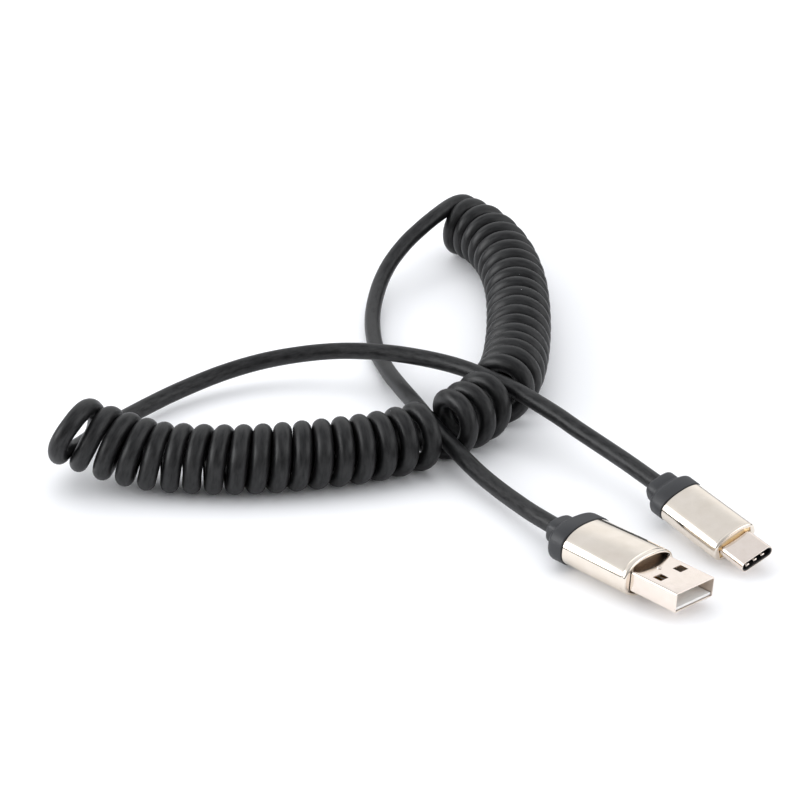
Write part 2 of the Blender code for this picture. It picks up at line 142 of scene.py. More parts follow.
# The USB-A tongue, in mm: its ends, where its top begins to slope, its floor, and how far the top drops
TONGUE_REAR, TONGUE_SHOULDER, TONGUE_FRONT = -13.15, -3.05, -0.3
TONGUE_WIDTH, TONGUE_HEIGHT, TONGUE_FLOOR = 11.2, 1.87, -1.87
TONGUE_DROP = 1.25
# The collar of both boots, in mm
COLLAR_WIDTH, COLLAR_HEIGHT = 7.4, 5.3
# The USB-C liner stands back from the mouth, and its springs lie above and below the slot, in mm
LINER_BACK = 0.12
SPRING_X, SPRING_Z = -2.0, -0.68
SPRING_ACROSS = (-2.15, -0.1, 1.95)
SPRING_BLANK = (0.25, 0.95, 0.12)
SPRING_BOW = ((0.25, 0.1), (0.25, 0.13), (0.2, 0.06), (0.2, -0.05), (0.2, -0.12), (0.15, -0.14))

# The studio: the tent's shade by height, its brighter and dimmer sides, and the two lamps
TENT_SHADES = ((0.497, "#1c1c1c"), (0.546, "#1f1f20"), (0.562, "#d6d7d9"), (0.66, "#fafbfc"),
               (0.76, "#f8f9fb"), (0.9, "#dfe1e4"))
TENT_FLOOR, TENT_ROOF = "#8a8a8a", "#dcdde1"
TENT_STRENGTH = 1.22
# Each side: where it lies, how near to it the light starts and stops changing, and by how much it changes
TENT_SIDES = (((0.0, -0.97, 0.25), 0.45, 0.95, 0.45),
              ((-0.95, -0.12, 0.28), 0.86, 0.985, 5.0),
              ((0.92, -0.25, 0.3), 0.84, 0.98, 2.0))
# Each lamp: its name, its size in m, its power in W and its place
SOFTBOXES = (("softbox_overhead", 1.2, 3.2, (-0.15, 0.25, 1.0)),
             ("softbox_right", 0.5, 0.3, (0.8, -0.5, 0.45)))
PAPER_SIZE = 4.0


def plug_place(mouth, turn):
    """World matrix of a plug's own frame."""
    yaw, pitch, roll = (math.radians(a) for a in turn)
    return (Matrix.Translation(Vector(mouth) * MM + Vector(LAYOUT_SHIFT)) @ Matrix.Rotation(yaw, 4, "Z")
            @ Matrix.Rotation(pitch, 4, "Y") @ Matrix.Rotation(roll, 4, "X"))


A_PLACE = plug_place(A_MOUTH, A_TURN)
C_PLACE = plug_place(C_MOUTH, C_TURN)


def take_photograph():
    """Set up the camera where the photograph was taken from."""
    data = bpy.data.cameras.new("studio_camera")
    data.sensor_width = SENSOR_WIDTH
    data.lens = LENS
    data.clip_start = NEAREST_SEEN
    camera = bpy.data.objects.new("studio_camera", data)
    bpy.context.scene.collection.objects.link(camera)
    drop = math.radians(CAMERA_DROP)
    camera.location = Vector(LAYOUT_SHIFT) + CAMERA_AWAY * Vector((0.0, -math.cos(drop), math.sin(drop)))
    camera.rotation_euler = (math.radians(90.0 - CAMERA_DROP), 0.0, 0.0)
    bpy.context.scene.camera = camera


# The cord's line

def unit(rows):
    """Each row made one long."""
    return rows / np.linalg.norm(rows, axis=-1, keepdims=True)


def smooth_line(points, steps=24):
    """Close points on a smooth curve through given ones."""
    p = np.array(points, float)
    p = np.vstack([2 * p[0] - p[1], p, 2 * p[-1] - p[-2]])
    t = np.arange(steps)[:, None] / steps
    line = [0.5 * (2 * b + (c - a) * t + (2 * a - 5 * b + 4 * c - d) * t ** 2
                   + (3 * b - a - 3 * c + d) * t ** 3)
            for a, b, c, d in zip(p, p[1:], p[2:], p[3:])]
    return np.vstack(line + [p[-2:-1]])


def run_of(line):
    """How far each point of a line is from its start, along it."""
    return np.concatenate([[0.0], np.cumsum(np.linalg.norm(np.diff(line, axis=0), axis=1))])


def at_run(line, run, where):
    """The points of a line, or its other rows, that lie as far along it as where says."""
    return np.column_stack([np.interp(where, run, line[:, k]) for k in range(line.shape[1])])


def eased(rows, count):
    """Running mean over about count rows, which leaves both ends where they are."""
    rows = rows.reshape(len(rows), -1)
    half = count // 2
    padded = np.vstack([2 * rows[0] - rows[half:0:-1], rows, 2 * rows[-1] - rows[-2:-2 - half:-1]])
    kernel = np.ones(2 * half + 1) / (2 * half + 1)
    return np.column_stack([np.convolve(padded[:, k], kernel, "valid") for k in range(rows.shape[1])])


def coil_line():
    """The curly cord's own centreline, turn by turn, from the USB-C lead's end to the USB-A lead's."""
    axis = smooth_line(np.array(COIL_AXIS) * MM)
    axis[:, 2] += COIL_RADIUS - LAYOUT_SHIFT[2]
    heading = unit(np.gradient(axis, axis=0))
    run = run_of(axis)
    run = np.concatenate([[-AXIS_PAST_END], run, [run[-1] + AXIS_PAST_END]])
    axis = np.vstack([axis[0] - AXIS_PAST_END * heading[0], axis, axis[-1] + AXIS_PAST_END * heading[-1]])
    heading = np.vstack([heading[0], heading, heading[-1]])
    marks = np.array(TURN_MARKS)
    turn = np.arange(marks[0, 0], marks[-1, 0] + 1e-6, 1.0 / POINTS_PER_TURN)
    along = eased(np.interp(turn, marks[:, 0], marks[:, 1] * MM), ALONG_EASED)[:, 0]
    middle = at_run(axis, run, along)
    heading = unit(eased(at_run(heading, run, along), HEADING_EASED))
    leans = np.radians(RING_LEANS)
    lean, tip = (np.interp(turn, [row[0] for row in RING_LEANS], leans[:, k]) for k in (1, 2))
    turned = np.arctan2(heading[:, 1], heading[:, 0]) + lean
    slope = np.arcsin(heading[:, 2]) - tip
    heading = np.column_stack([np.cos(slope) * np.cos(turned), np.cos(slope) * np.sin(turned),
                               np.sin(slope)])
    side = unit(np.cross(heading, (0.0, 0.0, 1.0)))
    up = np.cross(side, heading)
    angle = 2.0 * np.pi * turn[:, None]
    growth = np.interp(turn, *np.transpose(RING_GROWTH)) * MM
    reach = (COIL_RADIUS - STRAND_RADIUS + growth)[:, None]
    return middle + reach * (np.cos(angle) * side + np.sin(angle) * up)


def cord_line():
    """The whole cord from the USB-A boot to the USB-C boot, with each ring's radius."""
    def lead(route, place, entry):
        inside = [np.array(place @ Vector((x, 0.0, 0.0))) for x in (entry, entry + CORD_INSIDE)]
        return smooth_line(np.vstack([np.array(route) * MM + LAYOUT_SHIFT, inside]))

    lead_a = lead(LEAD_A_ROUTE, A_PLACE, A_CORD_ENTRY)[::-1][:-MEETING_GAP]
    lead_c = lead(LEAD_C_ROUTE, C_PLACE, C_CORD_ENTRY)[MEETING_GAP:]
    coil = (coil_line() + LAYOUT_SHIFT)[::-1]
    rough = np.vstack([lead_a, coil, lead_c])
    fat = np.concatenate([np.zeros(len(lead_a)), np.ones(len(coil)), np.zeros(len(lead_c))])
    run = run_of(rough)
    where = np.linspace(0.0, run[-1], round(run[-1] / RING_STEP) + 1)
    line = at_run(rough, run, where)
    fat = np.interp(where, run, fat)
    # The two places where a lead meets the coil are eased over a few millimetres
    meets = [run[len(lead_a)], run[len(lead_a) + len(coil)]]
    soft = eased(line, MEETING_EASED)
    near = np.max([np.exp(-((where - m) / MEETING_REACH) ** 2) for m in meets], axis=0)[:, None]
    line = line * (1.0 - near) + soft * near
    radius = LEAD_RADIUS + (STRAND_RADIUS - LEAD_RADIUS) * eased(fat, THICKNESS_EASED)[:, 0]
    return line, radius


def sweep_cord(line, radius):
    """A closed round tube along the cord's line, with a map that runs along it and round it."""
    heading = unit(np.gradient(line, axis=0))
    side = np.empty_like(line)
    s = np.cross(heading[0], (0.0, 0.0, 1.0))
    for i, t in enumerate(heading):
        s = s - t * (s @ t)
        s = s / math.sqrt(s @ s)
        side[i] = s
    up = np.cross(heading, side)
    angle = 2.0 * np.pi * np.arange(CORD_SIDES) / CORD_SIDES
    rings = (line[:, None] + radius[:, None, None] * (np.cos(angle)[None, :, None] * side[:, None]
                                                      + np.sin(angle)[None, :, None] * up[:, None]))
    count = len(line)
    ring = np.arange(count - 1)[:, None] * CORD_SIDES
    corner = np.arange(CORD_SIDES)[None, :]
    a = (ring + corner).ravel()
    b = (ring + (corner + 1) % CORD_SIDES).ravel()
    faces = np.column_stack([a, b, b + CORD_SIDES, a + CORD_SIDES]).tolist()
    faces.append(list(range(CORD_SIDES))[::-1])
    faces.append(list(range((count - 1) * CORD_SIDES, count * CORD_SIDES)))
    mesh = bpy.data.meshes.new("curly_cord")
    mesh.from_pydata(rings.reshape(-1, 3).tolist(), [], faces)
    mesh.polygons.foreach_set("use_smooth", np.ones(len(mesh.polygons), bool))
    # The map: u is the way along the cord in mm, v goes once round it from 0 to 1, and ends there at 1
    loops = np.empty(len(mesh.loops), int)
    mesh.loops.foreach_get("vertex_index", loops)
    u = run_of(line)[loops // CORD_SIDES] / MM
    v = (loops % CORD_SIDES) / CORD_SIDES
    first = np.arange(len(loops)) // 4 * 4
    wall = np.arange(len(loops)) < 4 * len(a)
    v[wall & (v == 0.0) & (v[first] > 0.5)] = 1.0
    mesh.uv_layers.new(name="along_and_round").data.foreach_set("uv", np.column_stack([u, v]).ravel())
    cord = bpy.data.objects.new("curly_cord", mesh)
    bpy.context.scene.collection.objects.link(cord)
    return cord


# Working by hand

def let_go():
    """Leave edit mode and drop everything that is selected."""
    if bpy.context.object is not None and bpy.context.object.mode != "OBJECT":
        bpy.ops.object.mode_set(mode="OBJECT")
    bpy.ops.object.select_all(action="DESELECT")


def pick(obj, kind, test):
    """In edit mode, select only the vertices, edges or faces that a test on place or normal passes."""
    bpy.ops.mesh.select_mode(type={"verts": "VERT", "edges": "EDGE", "faces": "FACE"}[kind])
    bpy.ops.mesh.select_all(action="DESELECT")
    bm = bmesh.from_edit_mesh(obj.data)
    for element in getattr(bm, kind):
        if test(element):
            element.select_set(True)
    bm.select_flush_mode()
    bmesh.update_edit_mesh(obj.data)


def middle(element):
    """Middle of an edge or a face."""
    points = [v.co for v in element.verts]
    return sum(points, Vector()) / len(points)


def along_x(edge):
    """Whether an edge runs along x."""
    a, b = edge.verts[0].co, edge.verts[1].co
    return abs(a.x - b.x) > 1e-6 and abs(a.y - b.y) < 1e-6 and abs(a.z - b.z) < 1e-6


def oval_blank(name, power, segments):
    """A unit cube with its four long edges bevelled right away into an oval, flatter as power grows."""
    let_go()
    bpy.ops.mesh.primitive_cube_add(size=1.0, location=(0.0, 0.0, 0.0))
    obj = bpy.context.object
    obj.name = obj.data.name = name
    bpy.ops.object.mode_set(mode="EDIT")
    pick(obj, "edges", along_x)
    bpy.ops.mesh.bevel(offset=0.4999, offset_type="OFFSET", segments=segments,
                       profile=2.0 ** (-2.0 / power), affect="EDGES")
    bpy.ops.mesh.select_all(action="SELECT")
    bpy.ops.mesh.remove_doubles(threshold=0.002)
    return obj


def box_blank(name, width, height, corner, segments):
    """A bar along x, 1 mm long, with round corners."""
    let_go()
    bpy.ops.mesh.primitive_cube_add(size=1.0, location=(0.0, 0.0, 0.0))
    obj = bpy.context.object
    obj.name = obj.data.name = name
    bpy.ops.object.mode_set(mode="EDIT")
    bpy.ops.transform.resize(value=(MM, width, height))
    pick(obj, "edges", along_x)
    bpy.ops.mesh.bevel(offset=corner, offset_type="OFFSET", segments=segments, profile=0.5, affect="EDGES")
    bpy.ops.mesh.select_all(action="SELECT")
    bpy.ops.mesh.remove_doubles(threshold=0.01 * MM)
    return obj


def front_face(obj):
    """Select the face that looks out of the plug's mouth and lies furthest along x, the largest of such."""
    bm = bmesh.from_edit_mesh(obj.data)
    looking_out = [f for f in bm.faces if f.normal.x > 0.9]
    front = max(looking_out, key=lambda f: (round(middle(f).x, 6), f.calc_area()))
    at = middle(front)
    pick(obj, "faces", lambda f: f.normal.x > 0.9 and (middle(f) - at).length < 1e-6)


def draw_out(obj, steps):
    """Draw the front face on through steps of x, width and height, from the first step's size."""
    front_face(obj)
    for (x0, w0, h0), (x1, w1, h1) in zip(steps, steps[1:]):
        bpy.ops.mesh.extrude_region_move(TRANSFORM_OT_translate={"value": (x1 - x0, 0.0, 0.0)})
        bpy.ops.transform.resize(value=(1.0, w1 / w0, h1 / h0), center_override=(0.0, 0.0, 0.0))


def oval_bar(name, power, steps, segments=24):
    """An oval bar turned like a lathe profile: steps of x, width and height, in mm, from its rear."""
    steps = [(x * MM, w * MM, h * MM) for x, w, h in steps]
    obj = oval_blank(name, power, segments)
    (x0, w0, h0), (x1, w1, h1) = steps[:2]
    bpy.ops.transform.resize(value=(x1 - x0, w0, h0))
    bpy.ops.transform.translate(value=(0.5 * (x0 + x1), 0.0, 0.0))
    front_face(obj)
    bpy.ops.transform.resize(value=(1.0, w1 / w0, h1 / h0), center_override=(0.0, 0.0, 0.0))
    draw_out(obj, steps[1:])
    return obj


def boxed_shell(name, width, height, corner, rear, wall, depth, segments):
    """A shell along x, in mm, with round corners and a hollow that is open at its mouth, x = 0."""
    obj = box_blank(name, width * MM, height * MM, corner * MM, segments)
    bpy.ops.transform.resize(value=(-rear, 1.0, 1.0))
    bpy.ops.transform.translate(value=(0.5 * rear * MM, 0.0, 0.0))
    front_face(obj)
    bpy.ops.mesh.inset(thickness=wall * MM, depth=0.0)
    bpy.ops.mesh.extrude_region_move(TRANSFORM_OT_translate={"value": (-depth * MM, 0.0, 0.0)})
    return obj


def round_over(obj, width, test, segments=2):
    """Bevel the edges that a test picks, width in mm."""
    pick(obj, "edges", test)
    bpy.ops.mesh.bevel(offset=width * MM, offset_type="OFFSET", segments=segments, profile=0.5,
                       affect="EDGES", clamp_overlap=True)


def cut_out(obj, punch, name):
    """Cut a punch's shape out of a piece, and put the punch away."""
    bpy.ops.object.mode_set(mode="OBJECT")
    let_go()
    bpy.context.view_layer.objects.active = obj
    cut = obj.modifiers.new(name, "BOOLEAN")
    cut.operation = "DIFFERENCE"
    cut.solver = "EXACT"
    cut.object = punch
    bpy.ops.object.modifier_apply(modifier=name)
    bpy.data.objects.remove(punch, do_unlink=True)


def done(obj, place, name, smooth=32.0):
    """Put a finished piece in its place in the mesh, closed, smooth where it is round, and riding."""
    if obj.mode != "OBJECT":
        bpy.ops.object.mode_set(mode="OBJECT")
    let_go()
    obj.select_set(True)
    bpy.context.view_layer.objects.active = obj
    for modifier in list(obj.modifiers):
        bpy.ops.object.modifier_apply(modifier=modifier.name)
    obj.matrix_world = place @ obj.matrix_world
    bpy.ops.object.transform_apply(location=True, rotation=True, scale=True)
    bpy.ops.object.mode_set(mode="EDIT")
    bpy.ops.mesh.select_all(action="SELECT")
    bpy.ops.mesh.remove_doubles(threshold=0.002 * MM)
    bpy.ops.mesh.normals_make_consistent(inside=False)
    bpy.ops.object.mode_set(mode="OBJECT")
    bpy.ops.object.shade_smooth_by_angle(angle=math.radians(smooth))
    obj.name = obj.data.name = name
    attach(obj, "root")
    return obj


# The plugs' pieces

def sunk_face(obj, slot, x, reach):
    """Give the floor of a recess, at x and within reach of the axis, a finish of its own, whose colour holds
    painted light.
    """
    for face in obj.data.polygons:
        if abs(face.center.x - x * MM) < 0.02 * MM and face.center.yz.length < reach * MM:
            face.material_index = slot


def make_sleeve(name, place, width, height, rear, front, recess, opening, bead, finish, floor_painted_light):
    """A drawn metal sleeve: its rear edge softened, a fine groove that leaves a bead round its front, and
    a recess out of which the plug's shell stands. The opening is how far its straight sides lie from the
    middle, and its arches' width and height. The bead is its width and how much narrower the groove is."""
    bead_width, groove = bead
    bead_rear = front - bead_width
    obj = oval_bar(name, 2.3, [(x, width - less, height - less) for x, less in (
        (rear, 0.24), (rear + 0.05, 0.12), (rear + 0.14, 0.0),
        (bead_rear - 0.21, 0.0), (bead_rear - 0.13, 0.3 * groove), (bead_rear - 0.07, groove),
        (bead_rear + 0.05, groove), (bead_rear + 0.11, 0.3 * groove), (bead_rear + 0.21, 0.0),
        (front - 0.42, 0.0), (front - 0.28, 0.1), (front - 0.14, 0.34), (front - 0.04, 0.66), (front, 1.0))])
    bpy.ops.object.mode_set(mode="OBJECT")
    obj.data.materials.append(finish)
    # The recess: its top and bottom are arched, its sides straight and close to the plug's shell
    side, arch_width, arch_height = opening
    punch = oval_bar(name + "_punch", 2.5,
                     [(x, arch_width, arch_height) for x in (front - recess, front + 0.5)])
    for sign in (-1.0, 1.0):
        bpy.ops.mesh.select_all(action="SELECT")
        bpy.ops.mesh.bisect(plane_co=(0.0, sign * side * MM, 0.0), plane_no=(0.0, sign, 0.0), use_fill=True,
                            clear_outer=True)
    cut_out(obj, punch, "recess")
    bpy.ops.object.mode_set(mode="EDIT")
    round_over(obj, 0.1, lambda e: all(abs(v.co.x - front * MM) < 1e-6 and abs(v.co.y) < (side + 0.02) * MM
                                       and abs(v.co.z) < 0.501 * arch_height * MM for v in e.verts)
               and any(abs(f.normal.x) < 0.1 for f in e.link_faces), 2)
    bpy.ops.object.mode_set(mode="OBJECT")
    # The recess floor's finish carries painted light in its colour: painted shade in the USB-A sleeve, a
    # painted reflection in the USB-C one.
    obj.data.materials.append(floor_painted_light)
    sunk_face(obj, 1, front - recess, 0.5 * height)
    return done(obj, place, name, 25.0)


def make_boot(name, place, width, height, cap_front, cap_length, collar_length, finish):
    """A moulded boot, from the collar that grips the cord to the cap that meets the sleeve."""
    cap_rear = cap_front - cap_length
    collar_rear = cap_rear - collar_length
    collar = oval_bar(name + "_collar", 3.2, [(x, COLLAR_WIDTH - w, COLLAR_HEIGHT - h) for x, w, h in (
        (collar_rear, 1.8, 1.1), (collar_rear + 0.02, 1.4, 1.1), (collar_rear + 0.1, 0.9, 0.8),
        (collar_rear + 0.3, 0.4, 0.4), (collar_rear + 0.6, 0.1, 0.12), (collar_rear + 0.95, 0.0, 0.0),
        (cap_rear - 0.55, 0.0, 0.0), (cap_rear - 0.3, 0.14, 0.14), (cap_rear - 0.12, 0.1, 0.1),
        (cap_rear + 0.4, -0.1, -0.1))], 20)
    cap = oval_bar(name, 2.5, [(x, width - w, height - h) for x, w, h in (
        (cap_rear, 2.6, 2.4), (cap_rear + 0.03, 2.0, 1.9), (cap_rear + 0.12, 1.6, 1.5),
        (cap_rear + 0.32, 1.05, 1.0), (cap_rear + 0.62, 0.5, 0.5), (cap_rear + 0.95, 0.14, 0.14),
        (cap_rear + 1.3, 0.0, 0.0), (cap_front - 0.22, 0.0, 0.0), (cap_front - 0.08, 0.06, 0.06),
        (cap_front, 0.26, 0.26), (cap_front, 0.7, 0.7), (cap_front + 0.34, 0.7, 0.7))], 24)
    bpy.ops.object.mode_set(mode="OBJECT")
    let_go()
    collar.select_set(True)
    cap.select_set(True)
    bpy.context.view_layer.objects.active = cap
    bpy.ops.object.join()
    cap.data.materials.append(finish)
    return done(cap, place, name, 40.0)


def make_usb_a_shell(place, finish):
    """The folded steel shell, its mouth's edges softened, with two windows in its top."""
    obj = boxed_shell("usb_a_plug_shell", A_SHELL_WIDTH, A_SHELL_HEIGHT, corner=0.5, rear=-13.65,
                      wall=A_SHELL_WALL, depth=13.2, segments=5)
    past_y = (0.5 * A_SHELL_WIDTH - A_SHELL_WALL + 0.01) * MM
    past_z = (0.5 * A_SHELL_HEIGHT - A_SHELL_WALL + 0.01) * MM
    round_over(obj, SHELL_MOUTH_ROUND, lambda e: all(
        abs(v.co.x) < 1e-6 and (abs(v.co.y) > past_y or abs(v.co.z) > past_z) for v in e.verts), 3)
    bpy.ops.object.mode_set(mode="OBJECT")
    for side in (-1, 1):
        let_go()
        bpy.ops.mesh.primitive_cube_add(size=1.0,
                                        location=(WINDOW_X * MM, side * WINDOW_Y * MM, WINDOW_Z * MM))
        punch = bpy.context.object
        bpy.ops.object.mode_set(mode="EDIT")
        bpy.ops.transform.resize(value=[size * MM for size in WINDOW_SIZE])
        pick(punch, "edges", lambda e: abs(e.verts[0].co.z - e.verts[1].co.z) > 0.5 * MM)
        bpy.ops.mesh.bevel(offset=WINDOW_CORNER * MM, offset_type="OFFSET", segments=3, profile=0.5,
                           affect="EDGES")
        cut_out(obj, punch, "window")
    obj.data.materials.append(finish)
    return done(obj, place, "usb_a_plug_shell", 30.0)


def make_dimple(place, finish):
    """The dimple pressed up in the USB-A shell's top: a flat round cap that stands out of the metal."""
    let_go()
    bpy.ops.mesh.primitive_uv_sphere_add(segments=24, ring_count=12, radius=1.0, location=(0.0, 0.0, 0.0))
    obj = bpy.context.object
    bpy.ops.object.mode_set(mode="EDIT")
    bpy.ops.transform.resize(value=[radius * MM for radius in DIMPLE_RADII])
    bpy.ops.transform.translate(value=[at * MM for at in DIMPLE_PLACE])
    bpy.ops.object.mode_set(mode="OBJECT")
    obj.data.materials.append(finish)
    return done(obj, place, "usb_a_dimple", 60.0)


def make_tongue(place, finish):
    """The moulded insert: its top slopes down to the mouth, and its long edges are broken."""
    length = TONGUE_SHOULDER - TONGUE_REAR
    at = (TONGUE_REAR + 0.5 * length) * MM
    let_go()
    bpy.ops.mesh.primitive_cube_add(size=1.0, location=(at, 0.0, 0.0))
    obj = bpy.context.object
    bpy.ops.object.mode_set(mode="EDIT")
    bpy.ops.transform.resize(value=(length * MM, TONGUE_WIDTH * MM, TONGUE_HEIGHT * MM),
                             center_override=(at, 0.0, 0.0))
    bpy.ops.transform.translate(value=(0.0, 0.0, (TONGUE_FLOOR + 0.5 * TONGUE_HEIGHT) * MM))
    front_face(obj)
    slope_length = (TONGUE_FRONT - TONGUE_SHOULDER) * MM
    bpy.ops.mesh.extrude_region_move(TRANSFORM_OT_translate={"value": (slope_length, 0.0, 0.0)})
    pick(obj, "verts", lambda v: v.co.x > -1.0 * MM and v.co.z > -0.5 * MM)
    bpy.ops.transform.translate(value=(0.0, 0.0, -TONGUE_DROP * MM))
    round_over(obj, 0.2, lambda e: min(v.co.z for v in e.verts) > -1.4 * MM
               and abs(e.verts[0].co.x - e.verts[1].co.x) > 1.0 * MM, 2)
    round_over(obj, 0.12, lambda e: all(v.co.x > -0.6 * MM for v in e.verts), 2)
    bpy.ops.object.mode_set(mode="OBJECT")
    obj.data.materials.append(finish)
    return done(obj, place, "usb_a_insert", 30.0)


def make_usb_c_shell(place, finish):
    """The drawn steel shell, its mouth rolled to a round edge."""
    obj = boxed_shell("usb_c_plug_shell", C_SHELL_WIDTH, C_SHELL_HEIGHT, corner=1.275, rear=-7.75,
                      wall=C_SHELL_WALL, depth=7.6, segments=14)

    def outer_wall(face):
        return abs(face.normal.x) < 0.1 and face.normal.yz.dot(middle(face).yz) > 0.0

    round_over(obj, SHELL_MOUTH_ROUND, lambda e: all(abs(v.co.x) < 1e-6 for v in e.verts)
               and (abs(e.verts[0].co.y) > 3.0 * MM or abs(e.verts[0].co.z) > 1.2 * MM)
               and any(outer_wall(f) for f in e.link_faces), 3)
    bpy.ops.object.mode_set(mode="OBJECT")
    obj.data.materials.append(finish)
    return done(obj, place, "usb_c_plug_shell", 30.0)


def make_liner(place, finish):
    """The black insert with its slot, set a hair inside the shell's mouth."""
    obj = boxed_shell("usb_c_insert", 7.9, 2.12, corner=1.055, rear=-7.0, wall=0.24, depth=6.5, segments=12)
    bpy.ops.mesh.select_all(action="SELECT")
    bpy.ops.transform.translate(value=(-LINER_BACK * MM, 0.0, 0.0))
    bpy.ops.object.mode_set(mode="OBJECT")
    obj.data.materials.append(finish)
    return done(obj, place, "usb_c_insert", 30.0)


def make_spring(name, y, side, place, finish):
    """One ground spring: a narrow strip that rises to a round bow just inside the mouth, on one side of
    the slot, 1 for above and -1 for below."""
    let_go()
    bpy.ops.mesh.primitive_cube_add(size=1.0, location=(0.0, 0.0, 0.0))
    obj = bpy.context.object
    bpy.ops.object.mode_set(mode="EDIT")
    bpy.ops.transform.resize(value=[size * MM for size in SPRING_BLANK])
    for dx, dz in SPRING_BOW:
        front_face(obj)
        bpy.ops.mesh.extrude_region_move(TRANSFORM_OT_translate={"value": (dx * MM, 0.0, dz * MM)})
    bpy.ops.mesh.select_all(action="SELECT")
    bpy.ops.transform.translate(value=(SPRING_X * MM, y * MM, SPRING_Z * MM))
    if side > 0:
        bpy.ops.transform.resize(value=(1.0, 1.0, -1.0), center_override=(0.0, 0.0, 0.0))
    bpy.ops.object.mode_set(mode="OBJECT")
    soften = obj.modifiers.new("soften", "BEVEL")
    soften.width = 0.04 * MM
    soften.segments = 2
    soften.limit_method = "ANGLE"
    soften.angle_limit = math.radians(50.0)
    obj.data.materials.append(finish)
    return done(obj, place, name, 60.0)


# Materials

def linear(colour):
    """An sRGB hex colour as linear RGBA."""
    parts = [int(colour[i:i + 2], 16) / 255.0 for i in (1, 3, 5)]
    return [p / 12.92 if p <= 0.04045 else ((p + 0.055) / 1.055) ** 2.4 for p in parts] + [1.0]


def add(tree, kind, values=None, links=None):
    """Add a node, set its own settings, a colour ramp's stops and sockets, and link sockets to (node,
    output) pairs."""
    node = tree.nodes.new("ShaderNode" + kind)
    for key, value in (values or {}).items():
        if key == "stops":
            for stop, (place, colour) in zip(node.color_ramp.elements, value):
                stop.position = place
                stop.color = linear(colour)
        elif isinstance(key, str) and hasattr(node, key):
            setattr(node, key, value)
        else:
            node.inputs[key].default_value = value
    for key, (source, output) in (links or {}).items():
        tree.links.new(source.outputs[output], node.inputs[key])
    return node


def surface(name):
    """An empty material, its node tree and the coordinates of the surface, which are in metres."""
    material = bpy.data.materials.new(name)
    material.use_nodes = True
    tree = material.node_tree
    tree.nodes.clear()
    where = add(tree, "TexCoord")
    return material, tree, where


def across(size):
    """The scale of a pattern whose clouds, grains or lines are size millimetres across."""
    return 1.0 / (size * MM)


def finish_surface(tree, shader):
    """Lead the shader to the material's output."""
    add(tree, "OutputMaterial", links={"Surface": (shader, "BSDF")})


def extruded_tpe():
    """Black thermoplastic rubber, extruded: the die leaves a satin skin with faint lengthwise streaks, a
    cloudy tone and a little dust."""
    material, tree, where = surface("extruded_black_tpe")
    skin = add(tree, "SeparateXYZ", links={"Vector": (where, "UV")})
    turned = add(tree, "Math", {"operation": "MULTIPLY", 1: 2.0 * math.pi}, {0: (skin, "Y")})
    around = [add(tree, "Math", {"operation": name}, {0: (turned, 0)}) for name in ("COSINE", "SINE")]
    # A streak's width and length, in mm. Its pattern runs round the cord on a circle of radius 1.
    width, length = 0.804, 2.404
    streaks_round = STRAND_RADIUS / (width * MM)
    slow = add(tree, "Math", {"operation": "MULTIPLY", 1: 1.0 / (length * streaks_round)}, {0: (skin, "X")})
    drawn = add(tree, "CombineXYZ", links={"X": (around[0], 0), "Y": (around[1], 0), "Z": (slow, 0)})
    streak = add(tree, "TexNoise", {"Scale": streaks_round, "Detail": 3.0, "Roughness": 0.55},
                 {"Vector": (drawn, 0)})
    cloud = add(tree, "TexNoise", {"Scale": across(3.85), "Detail": 4.0, "Roughness": 0.6},
                {"Vector": (where, "Object")})
    tint = add(tree, "ValToRGB", {"stops": ((0.3, "#0b0b0c"), (0.75, "#131314"))}, {"Fac": (cloud, "Fac")})
    # Dust: in one cell of 2.38 mm in fourteen a speck, 0.2 mm across at most
    speck = add(tree, "TexVoronoi", {"Scale": across(2.38), "Randomness": 1.0},
                {"Vector": (where, "Object")})
    near = add(tree, "Math", {"operation": "LESS_THAN", 1: 0.045}, {0: (speck, "Distance")})
    few = add(tree, "SeparateColor", links={"Color": (speck, "Color")})
    rare = add(tree, "Math", {"operation": "GREATER_THAN", 1: 0.93}, {0: (few, "Red")})
    dust = add(tree, "Math", {"operation": "MULTIPLY"}, {0: (near, 0), 1: (rare, 0)})
    dusty = add(tree, "Mix", {"data_type": "RGBA"}, {0: (dust, 0), 6: (tint, "Color")})
    dusty.inputs[7].default_value = linear("#8d8d90")
    dull = add(tree, "MapRange", {"From Min": 0.3, "From Max": 0.7, "To Min": 0.35, "To Max": 0.5},
               {"Value": (streak, "Fac")})
    shine = add(tree, "MapRange", {"From Min": 0.3, "From Max": 0.7, "To Min": 0.24, "To Max": 0.54},
                {"Value": (streak, "Fac")})
    grain = add(tree, "TexNoise", {"Scale": across(0.3125), "Detail": 2.0}, {"Vector": (where, "Object")})
    bump = add(tree, "Bump", {"Strength": 0.12, "Distance": 0.08 * MM}, {"Height": (grain, "Fac")})
    shader = add(tree, "BsdfPrincipled", {"IOR": 1.5}, {"Base Color": (dusty, 2), "Roughness": (dull, 0),
                 "Specular IOR Level": (shine, 0), "Normal": (bump, 0)})
    finish_surface(tree, shader)
    return material


def moulded_abs():
    """Dark grey ABS, moulded in a spark-eroded tool: fine even grain and a soft spread shine. The grain
    is really 0.03 mm and is drawn at 0.2 mm, so that it shows."""
    material, tree, where = surface("moulded_grey_abs")
    grain = add(tree, "TexNoise", {"Scale": across(0.2), "Detail": 2.0}, {"Vector": (where, "Object")})
    patch = add(tree, "TexNoise", {"Scale": across(5.56), "Detail": 3.0}, {"Vector": (where, "Object")})
    tint = add(tree, "ValToRGB", {"stops": ((0.3, "#202124"), (0.7, "#292a2d"))}, {"Fac": (patch, "Fac")})
    dull = add(tree, "MapRange", {"To Min": 0.42, "To Max": 0.55}, {"Value": (patch, "Fac")})
    bump = add(tree, "Bump", {"Strength": 0.2, "Distance": 0.06 * MM}, {"Height": (grain, "Fac")})
    shader = add(tree, "BsdfPrincipled", {"IOR": 1.53},
                 {"Base Color": (tint, "Color"), "Roughness": (dull, 0), "Normal": (bump, 0)})
    finish_surface(tree, shader)
    return material


